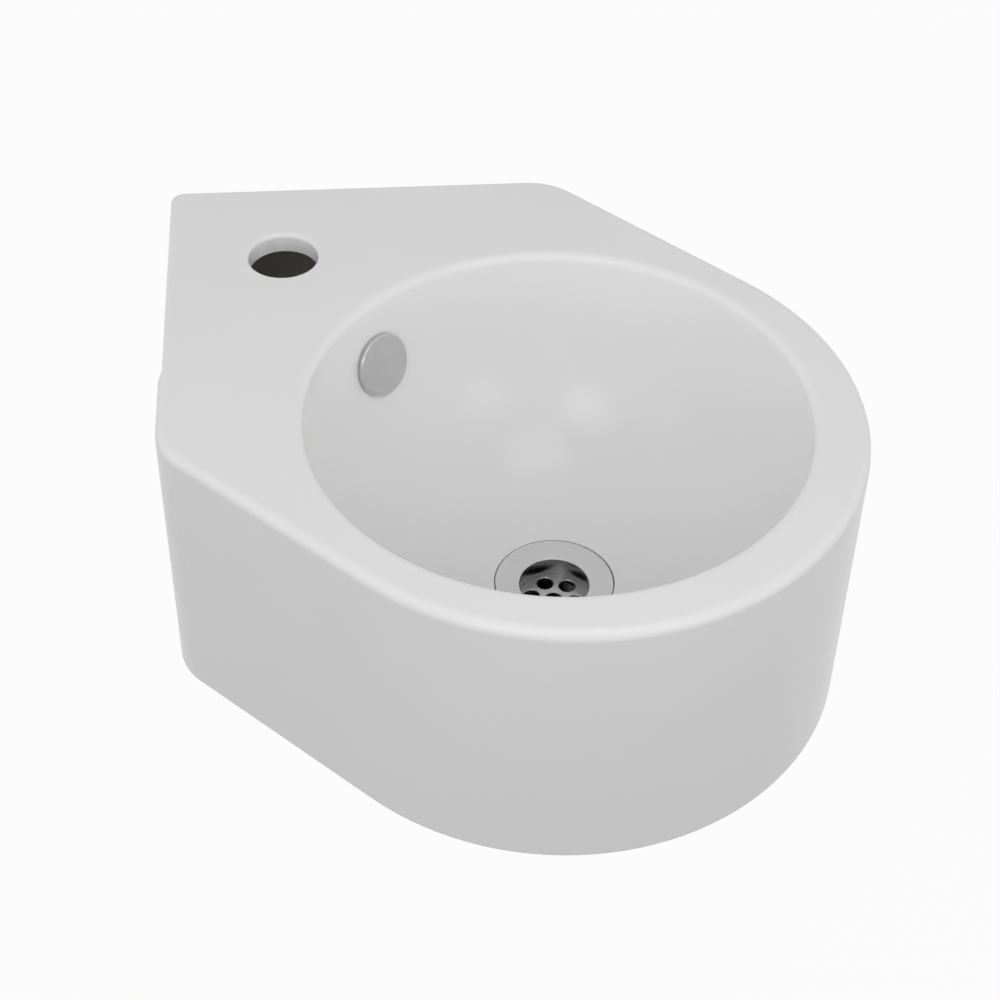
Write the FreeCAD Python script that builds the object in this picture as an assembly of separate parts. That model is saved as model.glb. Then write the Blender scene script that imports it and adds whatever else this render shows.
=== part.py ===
import FreeCAD, Part
import math
import os

# Wall-hung corner hand basin in glazed ceramic, with its overflow cover and its strainer waste.
#
# The two room walls are the planes x = 0 (on the left) and y = 0 (at the back), and the basin lies
# in x > 0, y < 0. The deck is the plane z = 0 and +Z points up, so the origin is the point where
# both walls meet the level of the deck. In plan the basin is symmetric about the diagonal that runs
# from the room corner to the middle of the round front. All sizes are in millimetres.

# ---- Plan of the basin
reach = 350.0                # from each wall to the furthest point of the front
front_radius = 148.6         # round front
side_lead = 11.6             # how far a wall side runs past the front's centre, measured to its sharp end
end_corner_radius = 34.0     # rounding of that end, where the straight side starts
room_corner_radius = 9.0     # upright edge in the room corner

# ---- Height, walls and edges of the casting
skirt_below_boss = 8.8       # how far the skirt hides what is below the waste boss
deck_thickness = 11.0
skirt_wall = 11.0
deck_edge_radius = 5.2       # outer edge of the deck
foot_edge_radius = 2.0       # lower edges of the skirt
inner_corner_radius = 6.0    # upright edges inside the skirt, where the wall leaves less than this

# ---- Wall faces: a shallow relief near the room corner leaves a contact pad on each wall side
relief_depth = 2.1
relief_length = 155.0        # from the room corner to the start of the ramp
relief_ramp = 6.5            # length over which the face comes forward to the pad
wall_hole_radius = 7.0       # holes for the wall bolts
wall_hole_run = 176.0        # from the room corner
wall_hole_drop = 62.0        # below the deck

# ---- Bowl
bowl_setback = 4.0           # bowl's axis from the front's centre, towards each wall
rim_width = 22.5             # by how much the bowl's radius is less than the front's
bowl_depth = 122.2           # where the bowl's curve would reach its axis
bowl_fullness = 0.60         # 0.5523 would be an ellipse, more is fuller
bowl_wall = 9.0
rim_edge_radius = 4.5        # inner edge of the deck, around the bowl
rim_root_radius = 16.0       # under the deck, where the bowl's wall hangs from it

# ---- Tap hole
tap_forward = 5.0            # past the middle between the skirt's inner corner and the bowl
tap_hole_radius = 18.5
tap_edge_radius = 2.5

# ---- Overflow way: hole in the bowl, channel down the bowl's back, mouth in the waste hole
overflow_drop = 37.5         # from the deck to the middle of the hole
overflow_hole_radius = 12.5
channel_side_room = 4.5      # beside the overflow hole
channel_depth = 9.0
channel_wall = 8.0
channel_headroom = 3.0       # above the overflow hole

# ---- Waste seat
waste_forward = 1.8          # waste's axis from the bowl's, away from each wall, so that water runs to it
waste_hole_clearance = 2.0   # around the thread
seat_clearance = 0.5         # around the flange
boss_margin = 8.0            # ceramic around the flange's seat
boss_thickness = 27.0        # ceramic between the flange seal and the lower gasket

# ---- Waste fitting
flange_radius = 31.5
flange_rise = 3.0            # of the flange's upper rim above the lowest point of the bowl's curve
flange_edge = 2.0
flange_dish = 1.4            # how far the flange falls from its rim to its mouth
flange_bead = 1.6            # width of the level rim around the dish
pot_wall = 1.6               # between the pot and the neck's outside
mouth_edge_radius = 1.0
grid_drop = 12.4             # from the flange's rim to the top of the grid
grid_thickness = 2.0
grid_fit = 0.05
tail_wall = 3.7              # between the tail's bore and the thread's crests
waste_length = 80.0
thread_radius = 20.955       # G 1 1/4, major radius
thread_pitch = 2.309
neck_relief = 0.855          # by how much the plain neck's radius is less than the thread's
thread_in_boss = 2.0         # how far the thread reaches up into the waste hole
thread_end_chamfer = 1.2
free_tail = 20.0             # end of the thread that the trap's nut takes
undercut_width = 1.5         # groove above the free tail
undercut_depth = 1.2
slot_count = 4               # overflow slots in the neck
slot_width = 12.0
slot_height = 9.0
slot_below_grid = 2.0
slot_turn = 45.0             # degrees from +X to the first slot

grid_hole_radius = 4.4
grid_rim = 2.2               # between the ring of holes and the grid's edge
grid_ring_holes = 6
grid_turn = 47.0             # degrees from +X to the first hole of the ring
grid_hole_chamfer = 0.3

# ---- Seals, washer and backnut of the waste
seal_thickness = 1.5
seal_setback = 1.5           # from the flange's edge
seal_bore_clearance = 0.8    # around the neck
gasket_thickness = 4.0
gasket_width = 10.0          # from the thread to the outside, as for the washer and the collar
gasket_bore_clearance = 0.35
washer_thickness = 1.5
washer_width = 9.0
nut_fit = 0.05
nut_collar_width = 8.0
nut_collar_height = 2.0
nut_hex_height = 9.0
nut_wall = 5.0               # from the thread to a flat of the hexagon
nut_sides = 6
nut_edge_chamfer = 0.8
nut_turns = 14               # turns from tight to the end of the thread

# ---- Overflow sleeve, cover and clip
sleeve_fit = 0.2
sleeve_wall = 1.4
sleeve_lip = 1.7             # how far the lip reaches past the hole
sleeve_lip_thickness = 0.8
sleeve_end_gap = 1.0         # short of the channel's far side of the bowl wall
cover_margin = 4.4           # how far the cover reaches past the hole
cover_thickness = 2.2
cover_rim_gap = 1.0          # water gap between the cover's rim and the bowl
cover_edge = 0.8             # bevel of the cover's face
stem_radius = 3.0
stem_length = 5.0
pry_slot_angle = 234.0       # degrees, seen from the bowl
pry_slot_length = 5.4
pry_slot_width = 1.3
pry_slot_depth = 1.5
pry_slot_inset = 2.6         # from the cover's edge
clip_thickness = 0.6
clip_width = 6.0
clip_fit = 0.35              # between the legs and the sleeve's bore
clip_past_sleeve = 3.7       # how far the legs reach beyond the sleeve
clip_toe = 2.0               # the legs' ends, bent inwards to lead them into the sleeve

# ---- Small values that only keep cuts clean
past = 5.0                   # how far a cutter runs past what it cuts
least_radius = 1.0
near = 1e-4
curve_accuracy = 1e-8
FULL_TURN = 360.0
TOWARDS_ROOM = 135.0         # degrees from +X to the way along the diagonal into the room corner

V = FreeCAD.Vector
UP = V(0, 0, 1)

# ---- Places that follow from the sizes
front_centre = reach - front_radius
wall_side = front_centre + side_lead
bowl_centre = front_centre - bowl_setback
bowl_radius = front_radius - rim_width
bowl_axis = V(bowl_centre, -bowl_centre, 0)
waste_centre = bowl_centre + waste_forward
waste_axis = V(waste_centre, -waste_centre, 0)
bowl_edge_run = bowl_centre - bowl_radius / math.sqrt(2)
tap_hole_run = (skirt_wall + bowl_edge_run) / 2 + tap_forward / math.sqrt(2)
mid_deck_level = -deck_thickness / 2
channel_width = 2 * (overflow_hole_radius + channel_side_room)

waste_hole_radius = thread_radius + waste_hole_clearance
boss_radius = flange_radius + seat_clearance + boss_margin
neck_radius = thread_radius - neck_relief
pot_radius = neck_radius - pot_wall
tail_bore_radius = thread_radius - tail_wall
grid_pitch_radius = pot_radius - grid_rim - grid_hole_radius
seal_radius = flange_radius - seal_setback
gasket_radius = thread_radius + gasket_width
washer_radius = thread_radius + washer_width
nut_collar_radius = thread_radius + nut_collar_width
nut_flat_radius = thread_radius + nut_wall

flange_level = flange_rise - bowl_depth
seat_level = flange_level - flange_edge - seal_thickness
boss_level = seat_level - boss_thickness
basin_height = skirt_below_boss - boss_level
gasket_level = boss_level - gasket_thickness
washer_level = gasket_level - washer_thickness
nut_level = washer_level - nut_collar_height - nut_hex_height
tail_level = flange_level - waste_length
nut_travel = nut_turns * thread_pitch
neck_level = boss_level + thread_in_boss
grid_level = flange_level - grid_drop

sleeve_outer_radius = overflow_hole_radius - sleeve_fit
sleeve_bore_radius = sleeve_outer_radius - sleeve_wall
sleeve_end = sleeve_end_gap - bowl_wall
cover_radius = overflow_hole_radius + cover_margin


# ---------------------------------------------------------------- plan outline

def side_normal_angle():
    """Angle of the right straight side's outward normal, in radians from +X."""
    along = wall_side - front_centre
    distance = math.hypot(along, front_centre)
    return math.atan2(front_centre, along) - math.acos(front_radius / distance)


def across_diagonal(point):
    """The same point on the other side of the basin's diagonal."""
    return V(-point.y, -point.x, point.z)


def arc(start, middle, end):
    return Part.Arc(start, middle, end).toShape()


def line(start, end):
    return Part.LineSegment(start, end).toShape()


def outline(inset, least_room_corner):
    """Closed plan wire at z = 0, moved inwards from the basin's outside by inset."""
    angle = side_normal_angle()
    normal = V(math.cos(angle), math.sin(angle), 0)
    front = V(front_centre, -front_centre, 0)
    radius = front_radius - inset
    end_radius = max(end_corner_radius - inset, least_radius)
    room_radius = max(room_corner_radius - inset, least_room_corner)
    reach_along_normal = normal.dot(front) + radius
    end_y = -inset - end_radius
    end_x = (reach_along_normal - end_radius - end_y * normal.y) / normal.x
    end = V(end_x, end_y, 0)
    half = (angle + math.pi / 2) / 2
    wall_start = V(inset + room_radius, -inset, 0)
    wall_end = V(end_x, -inset, 0)
    corner_middle = end + V(math.cos(half), math.sin(half), 0) * end_radius
    side_start = end + normal * end_radius
    side_end = front + normal * radius
    nose = front + V(1, -1, 0).normalize() * radius
    room_middle = V(inset + room_radius, -inset - room_radius, 0)
    room_middle += V(-1, 1, 0).normalize() * room_radius
    return Part.Wire([
        line(wall_start, wall_end),
        arc(wall_end, corner_middle, side_start),
        line(side_start, side_end),
        arc(side_end, nose, across_diagonal(side_end)),
        line(across_diagonal(side_end), across_diagonal(side_start)),
        arc(across_diagonal(side_start), across_diagonal(corner_middle), across_diagonal(wall_end)),
        line(across_diagonal(wall_end), across_diagonal(wall_start)),
        arc(across_diagonal(wall_start), room_middle, wall_start),
    ])


def prism(wire, low, high):
    """Upright solid on a plan wire, from z = low to z = high."""
    solid = Part.Face(wire).extrude(UP * (high - low))
    solid.translate(UP * low)
    return solid


# ---------------------------------------------------------------- shape helpers

def cylinder(radius, low, high, centre):
    return Part.makeCylinder(radius, high - low, V(centre.x, centre.y, low), UP)


def ring(outer, inner, low, high, centre):
    return cylinder(outer, low, high, centre).cut(cylinder(inner, low - past, high + past, centre))


def turned(points, centre):
    """Solid turned about the upright line through centre, from (radius, z) points."""
    corners = [V(radius, 0, z) for radius, z in points]
    face = Part.Face(Part.makePolygon(corners + corners[:1]))
    solid = face.revolve(V(0, 0, 0), UP, FULL_TURN)
    solid.translate(V(centre.x, centre.y, 0))
    return solid


def circle_edges(shape, radius, level):
    """Round edges of a given radius at z = level."""
    found = []
    for edge in shape.Edges:
        if edge.Degenerated or edge.Curve.TypeId != "Part::GeomCircle":
            continue
        if abs(edge.Curve.Radius - radius) < near and abs(edge.Curve.Center.z - level) < near:
            found.append(edge)
    return found


def level_edges(shape, level):
    """Edges that lie wholly at z = level."""
    box_of = [(edge, edge.BoundBox) for edge in shape.Edges]
    return [edge for edge, box in box_of if abs(box.ZMin - level) < near and abs(box.ZMax - level) < near]


# ---------------------------------------------------------------- bowl curve

def bowl_curve(grown):
    """Curve of the bowl's section from the deck to its axis, grown outwards by a thickness."""
    radius = bowl_radius + grown
    depth = bowl_depth + grown
    curve = Part.BezierCurve()
    curve.setPoles([
        V(radius, 0, 0),
        V(radius, 0, -bowl_fullness * depth),
        V(bowl_fullness * radius, 0, -depth),
        V(0, 0, -depth),
    ])
    return curve


def bowl_solid(grown):
    """Solid of revolution of the bowl's curve, with a straight part that runs past the deck."""
    curve = bowl_curve(grown)
    edge_top = V(bowl_radius + grown, 0, past)
    axis_top = V(0, 0, past)
    wire = Part.Wire([
        line(axis_top, edge_top),
        line(edge_top, curve.StartPoint),
        curve.toShape(),
        line(curve.EndPoint, axis_top),
    ])
    solid = Part.Face(wire).revolve(V(0, 0, 0), UP, FULL_TURN)
    solid.translate(bowl_axis)
    return solid


def bowl_point(drop, grown=0.0):
    """Parameter and point of the bowl's curve at a given depth below the deck."""
    curve = bowl_curve(grown)
    low, high = 0.0, 1.0
    while high - low > curve_accuracy:
        middle = (low + high) / 2
        if curve.value(middle).z > -drop:
            low = middle
        else:
            high = middle
    return low, curve.value(low)


def overflow_frame():
    """Placement at the overflow: origin on the bowl's surface, local +Z into the bowl, +Y up."""
    parameter, point = bowl_point(overflow_drop)
    tangent = bowl_curve(0.0).tangent(parameter)[0]
    lean = math.atan2(abs(tangent.x), abs(tangent.z))
    to_front = V(1, -1, 0).normalize()
    origin = bowl_axis - to_front * point.x + UP * point.z
    inward = to_front * math.cos(lean) + UP * math.sin(lean)
    sideways = V(1, 1, 0).normalize()
    return FreeCAD.Placement(origin, FreeCAD.Rotation(sideways, inward.cross(sideways), inward, "ZXY"))


# ---------------------------------------------------------------- basin body

def casting_outside():
    """The basin's outer form with its rounded deck and foot edges."""
    solid = prism(outline(0.0, least_radius), -basin_height, 0.0)
    solid = solid.makeFillet(deck_edge_radius, level_edges(solid, 0.0))
    return solid.makeFillet(foot_edge_radius, level_edges(solid, -basin_height))


def wall_relief():
    """What is taken off both wall faces near the room corner."""
    corner = relief_depth + room_corner_radius
    ramp_end = relief_length + relief_ramp
    bend = V(corner, -corner, 0) + V(-1, 1, 0).normalize() * room_corner_radius
    inner_start = V(corner, -relief_depth, 0)
    inner_end = V(relief_length, -relief_depth, 0)
    ramp_foot = V(ramp_end, 0, 0)
    outer = V(ramp_end, past, 0)
    wire = Part.Wire([
        arc(across_diagonal(inner_start), bend, inner_start),
        line(inner_start, inner_end),
        line(inner_end, ramp_foot),
        line(ramp_foot, outer),
        line(outer, V(-past, past, 0)),
        line(V(-past, past, 0), across_diagonal(outer)),
        line(across_diagonal(outer), across_diagonal(ramp_foot)),
        line(across_diagonal(ramp_foot), across_diagonal(inner_end)),
        line(across_diagonal(inner_end), across_diagonal(inner_start)),
    ])
    return prism(wire, -basin_height - past, past)


def diagonal_slab(width, low, high):
    """Upright slab of a given width from the bowl's axis towards the room corner."""
    length = bowl_radius + bowl_wall + channel_depth + channel_wall + past
    slab = Part.makeBox(length, width, high - low, V(0, -width / 2, low))
    slab.rotate(V(0, 0, 0), UP, TOWARDS_ROOM)
    slab.translate(bowl_axis)
    return slab


def overflow_jacket():
    """Ceramic that encloses the overflow channel behind the bowl."""
    outside = bowl_solid(bowl_wall + channel_depth + channel_wall)
    slab = diagonal_slab(channel_width + 2 * channel_wall, boss_level, mid_deck_level)
    return outside.common(slab)


def overflow_channel():
    """Hollow between the bowl's wall and its jacket, down to the waste hole."""
    layer = bowl_solid(bowl_wall + channel_depth).cut(bowl_solid(bowl_wall))
    top = -(overflow_drop - overflow_hole_radius - channel_headroom)
    return layer.common(diagonal_slab(channel_width, boss_level, top))


def rim_root():
    """Rounded root of the bowl's wall under the deck."""
    level = -deck_thickness - rim_root_radius
    start = bowl_point(-level, bowl_wall)[1].x
    inner = bowl_radius
    outer = start + rim_root_radius
    bend = V(outer, 0, level) + V(-1, 0, 1).normalize() * rim_root_radius
    wire = Part.Wire([
        line(V(inner, 0, level), V(start, 0, level)),
        arc(V(start, 0, level), bend, V(outer, 0, -deck_thickness)),
        line(V(outer, 0, -deck_thickness), V(outer, 0, mid_deck_level)),
        line(V(outer, 0, mid_deck_level), V(inner, 0, mid_deck_level)),
        line(V(inner, 0, mid_deck_level), V(inner, 0, level)),
    ])
    solid = Part.Face(wire).revolve(V(0, 0, 0), UP, FULL_TURN)
    solid.translate(bowl_axis)
    return solid


def underside_hollow():
    """The hollow inside the skirt: everything but the bowl's wall, its jacket and the waste boss."""
    hollow = prism(outline(skirt_wall, inner_corner_radius), -basin_height - past, -deck_thickness)
    boss = cylinder(boss_radius, boss_level, flange_level, waste_axis)
    return hollow.cut([bowl_solid(bowl_wall), rim_root(), overflow_jacket(), boss])


def wall_bolt_holes():
    depth = skirt_wall + 2 * past
    start = V(wall_hole_run, past, -wall_hole_drop)
    back = Part.makeCylinder(wall_hole_radius, depth, start, V(0, -1, 0))
    left = Part.makeCylinder(wall_hole_radius, depth, across_diagonal(start), V(1, 0, 0))
    return [back, left]


def overflow_hole():
    through = bowl_wall + channel_depth / 2
    hole = Part.makeCylinder(overflow_hole_radius, through + past, V(0, 0, -through), UP)
    hole.Placement = overflow_frame()
    return hole


def waste_hole():
    seat = cylinder(flange_radius + seat_clearance, seat_level, flange_level + past, waste_axis)
    hole = cylinder(waste_hole_radius, boss_level - past, seat_level + past, waste_axis)
    return seat.fuse(hole)


def tap_hole(body):
    """Tap hole through the deck, with its upper edge rounded."""
    centre = V(tap_hole_run, -tap_hole_run, 0)
    body = body.cut(cylinder(tap_hole_radius, -deck_thickness - past, past, centre))
    return body.makeFillet(tap_edge_radius, circle_edges(body, tap_hole_radius, 0.0))


def basin_body():
    body = casting_outside()
    body = body.cut(underside_hollow())
    body = body.makeFillet(foot_edge_radius, inner_foot_edges(body))
    body = body.cut(wall_relief())
    body = body.cut(bowl_solid(0.0))
    body = body.makeFillet(rim_edge_radius, circle_edges(body, bowl_radius, 0.0))
    body = body.cut(overflow_channel())
    body = body.cut([overflow_hole(), waste_hole()] + wall_bolt_holes())
    return tap_hole(body).removeSplitter()


def inner_foot_edges(body):
    """Lower edges of the skirt's inside, which the foot's flat strip still meets at a right angle."""
    foot = [face for face in body.Faces if face.BoundBox.ZMax < -basin_height + near]
    longest = max(wire.Length for wire in foot[0].Wires)
    inner = [wire for wire in foot[0].Wires if wire.Length < longest - near]
    return [edge for wire in inner for edge in wire.Edges]


# ---------------------------------------------------------------- waste fitting

def waste_body():
    """Flange, pot, slotted neck and threaded tail, turned from one piece of brass."""
    mouth = flange_level - flange_dish
    ledge = grid_level - grid_thickness
    body = turned([
        (flange_radius, flange_level - flange_edge),
        (flange_radius, flange_level),
        (flange_radius - flange_bead, flange_level),
        (pot_radius, mouth),
        (pot_radius, ledge),
        (tail_bore_radius, ledge),
        (tail_bore_radius, tail_level),
        (thread_radius - thread_end_chamfer, tail_level),
        (thread_radius, tail_level + thread_end_chamfer),
        (thread_radius, neck_level),
        (neck_radius, neck_level),
        (neck_radius, flange_level - flange_edge),
    ], waste_axis)
    body = body.makeFillet(mouth_edge_radius, circle_edges(body, pot_radius, mouth))
    return body.cut(overflow_slots() + [thread_undercut()])


def thread_undercut():
    """Groove that marks off the free end of the thread, where the trap's nut goes."""
    low = tail_level + free_tail
    return ring(thread_radius + past, thread_radius - undercut_depth, low, low + undercut_width, waste_axis)


def overflow_slots():
    """Windows in the neck, below the grid, that let the overflow's water in."""
    top = grid_level - grid_thickness - slot_below_grid
    slots = []
    for number in range(slot_count):
        corner = V(0, -slot_width / 2, top - slot_height)
        slot = Part.makeBox(thread_radius + past, slot_width, slot_height, corner)
        slot.rotate(V(0, 0, 0), UP, slot_turn + number * FULL_TURN / slot_count)
        slot.translate(waste_axis)
        slots.append(slot)
    return slots


def grid_hole_centres():
    centres = [waste_axis]
    for number in range(grid_ring_holes):
        angle = math.radians(grid_turn + number * FULL_TURN / grid_ring_holes)
        centres.append(waste_axis + V(math.cos(angle), math.sin(angle), 0) * grid_pitch_radius)
    return centres


def waste_grid():
    low = grid_level - grid_thickness
    grid = cylinder(pot_radius - grid_fit, low, grid_level, waste_axis)
    for centre in grid_hole_centres():
        grid = grid.cut(cylinder(grid_hole_radius, low - past, grid_level + past, centre))
    return grid.makeChamfer(grid_hole_chamfer, circle_edges(grid, grid_hole_radius, grid_level))


def flange_seal():
    bore = neck_radius + seal_bore_clearance
    return ring(seal_radius, bore, seat_level, seat_level + seal_thickness, waste_axis)


def lower_gasket():
    return ring(gasket_radius, thread_radius + gasket_bore_clearance, gasket_level, boss_level, waste_axis)


def slip_washer():
    return ring(washer_radius, thread_radius + nut_fit, washer_level, gasket_level, waste_axis)


def backnut():
    """Hexagonal nut with a round collar towards the washer."""
    corner_radius = nut_flat_radius / math.cos(math.pi / nut_sides)
    corners = []
    for number in range(nut_sides):
        angle = math.radians(number * FULL_TURN / nut_sides)
        corners.append(waste_axis + V(math.cos(angle), math.sin(angle), 0) * corner_radius)
    hexagon = prism(Part.makePolygon(corners + corners[:1]), nut_level, nut_level + nut_hex_height)
    chamfered = turned([
        (0, nut_level),
        (nut_flat_radius, nut_level),
        (corner_radius, nut_level + nut_edge_chamfer),
        (corner_radius, nut_level + nut_hex_height),
        (0, nut_level + nut_hex_height),
    ], waste_axis)
    collar = cylinder(nut_collar_radius, nut_level + nut_hex_height, washer_level, waste_axis)
    nut = hexagon.common(chamfered).fuse(collar)
    return nut.cut(cylinder(thread_radius + nut_fit, nut_level - past, washer_level + past, waste_axis))


# ---------------------------------------------------------------- overflow fitting

def bowl_sagitta(radius):
    """How far the bowl's surface rises towards the bowl at a distance from the overflow's axis."""
    around = bowl_point(overflow_drop)[1].x
    return around - math.sqrt(around * around - radius * radius)


def placed(shape):
    shape.Placement = overflow_frame()
    return shape


def overflow_sleeve():
    """Plastic liner of the overflow hole, with a lip that rests on the bowl."""
    centre = V(0, 0, 0)
    lip_radius = overflow_hole_radius + sleeve_lip
    lip_level = bowl_sagitta(lip_radius)
    sleeve = cylinder(sleeve_outer_radius, sleeve_end, lip_level, centre)
    lip = cylinder(lip_radius, lip_level, lip_level + sleeve_lip_thickness, centre)
    bore = cylinder(sleeve_bore_radius, sleeve_end - past, lip_level + past, centre)
    return placed(sleeve.fuse(lip).cut(bore))


def cover_back_level():
    """Height of the cover's back above the bowl's surface, on the overflow's axis."""
    return bowl_sagitta(cover_radius) + cover_rim_gap


def overflow_cover():
    """Round chromed cover with a stem for the clip and a slot to lift it by."""
    back = cover_back_level()
    face = back + cover_thickness
    centre = V(0, 0, 0)
    cover = cylinder(cover_radius, back, face, centre)
    cover = cover.makeFillet(cover_edge, circle_edges(cover, cover_radius, face))
    slot_corner = V(-pry_slot_width / 2, -pry_slot_length / 2, face - pry_slot_depth)
    slot = Part.makeBox(pry_slot_width, pry_slot_length, cover_thickness, slot_corner)
    slot.translate(V(cover_radius - pry_slot_inset, 0, 0))
    slot.rotate(centre, UP, pry_slot_angle)
    stem = cylinder(stem_radius, back - stem_length, back, centre)
    return placed(cover.cut(slot).fuse(stem))


def overflow_clip():
    """Sprung strip on the cover's stem: a base and two legs that grip the sleeve."""
    half = sleeve_bore_radius - clip_fit
    base = cover_back_level() - stem_length
    inner = half - clip_thickness
    end = sleeve_end - clip_past_sleeve
    toe = half - clip_toe
    corners = [
        (-half, base), (half, base),
        (half, end + clip_toe), (toe, end), (toe - clip_thickness, end),
        (inner, end + clip_toe), (inner, base - clip_thickness),
        (-inner, base - clip_thickness), (-inner, end + clip_toe),
        (-toe + clip_thickness, end), (-toe, end), (-half, end + clip_toe),
    ]
    points = [V(x, -clip_width / 2, z) for x, z in corners]
    strip = Part.Face(Part.makePolygon(points + points[:1])).extrude(V(0, clip_width, 0))
    reach_of_legs = cylinder(half, end - past, base + past, V(0, 0, 0))
    return placed(strip.common(reach_of_legs))


# ---------------------------------------------------------------- all pieces

def pieces():
    return {
        "basin_body": basin_body(),
        "waste_body": waste_body(),
        "waste_grid": waste_grid(),
        "flange_seal": flange_seal(),
        "lower_gasket": lower_gasket(),
        "slip_washer": slip_washer(),
        "backnut": backnut(),
        "overflow_sleeve": overflow_sleeve(),
        "overflow_cover": overflow_cover(),
        "overflow_clip": overflow_clip(),
    }


def main():
    os.makedirs("parts", exist_ok=True)
    for name, shape in pieces().items():
        shape.exportStep(os.path.join("parts", name + ".step"))
        box = shape.optimalBoundingBox()
        size = "%.1f x %.1f x %.1f mm" % (box.XLength, box.YLength, box.ZLength)
        print(name, size, round(shape.Volume), "mm3, solids", len(shape.Solids), "valid", shape.isValid())


main()
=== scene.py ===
"""Visual model of a wall-hung corner hand basin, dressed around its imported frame.

The frame's origin is the point where both room walls meet the level of the deck. The walls are the
planes x = 0 and y = 0, and the basin lies in x > 0, y < 0, z < 0. All lengths are in metres, and the
angles among the classes' fields are in degrees.
"""
from __future__ import annotations

import logging
import math
from dataclasses import dataclass
from enum import Enum

import bmesh
import bpy
from mathutils import Matrix, Vector

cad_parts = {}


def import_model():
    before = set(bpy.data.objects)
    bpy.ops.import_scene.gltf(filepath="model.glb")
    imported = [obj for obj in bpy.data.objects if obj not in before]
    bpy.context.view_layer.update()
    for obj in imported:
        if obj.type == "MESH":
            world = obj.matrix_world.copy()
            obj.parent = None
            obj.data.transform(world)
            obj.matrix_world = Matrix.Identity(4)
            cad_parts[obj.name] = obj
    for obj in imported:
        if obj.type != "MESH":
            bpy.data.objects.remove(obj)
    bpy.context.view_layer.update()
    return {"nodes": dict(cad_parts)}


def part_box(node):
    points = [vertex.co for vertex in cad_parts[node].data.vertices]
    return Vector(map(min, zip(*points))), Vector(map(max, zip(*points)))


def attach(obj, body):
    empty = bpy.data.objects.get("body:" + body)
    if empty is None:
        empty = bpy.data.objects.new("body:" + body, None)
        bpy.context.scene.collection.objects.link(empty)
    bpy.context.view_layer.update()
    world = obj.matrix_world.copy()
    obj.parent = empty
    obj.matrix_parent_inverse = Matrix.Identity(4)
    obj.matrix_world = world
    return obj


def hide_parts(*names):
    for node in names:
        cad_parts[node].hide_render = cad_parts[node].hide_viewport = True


LOG = logging.getLogger("corner_basin")

MM = 0.001
QUARTER_TURN = 90.0
WHITE = (1.0, 1.0, 1.0, 1.0)

Colour = tuple[float, float, float]
Span = tuple[float, float]
Outline = list[tuple[float, float]]
Socket = bpy.types.NodeSocket
Sockets = bpy.types.NodeOutputs


# -------------------------------------------------------------------
# Shader node helpers
# -------------------------------------------------------------------


class Output(Enum):
    """What a shared node group puts out."""

    HEIGHT = "Height"
    VALUE = "Value"
    MASK = "Mask"


def group_with(name: str, inputs: dict[str, float], output: Output) -> bpy.types.NodeTree:
    """Start a shader node group with float sockets.

    Args:
        name: The group's name.
        inputs: Socket names with their default values.
        output: What the group puts out.

    Returns:
        The new node tree with its input and output nodes in place.
    """
    tree = bpy.data.node_groups.new(name, "ShaderNodeTree")
    for socket, default in inputs.items():
        item = tree.interface.new_socket(name=socket, in_out="INPUT", socket_type="NodeSocketFloat")
        item.default_value = default
    tree.interface.new_socket(name=output.value, in_out="OUTPUT", socket_type="NodeSocketFloat")
    tree.nodes.new("NodeGroupInput").name = "in"
    tree.nodes.new("NodeGroupOutput").name = "out"
    return tree


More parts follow.
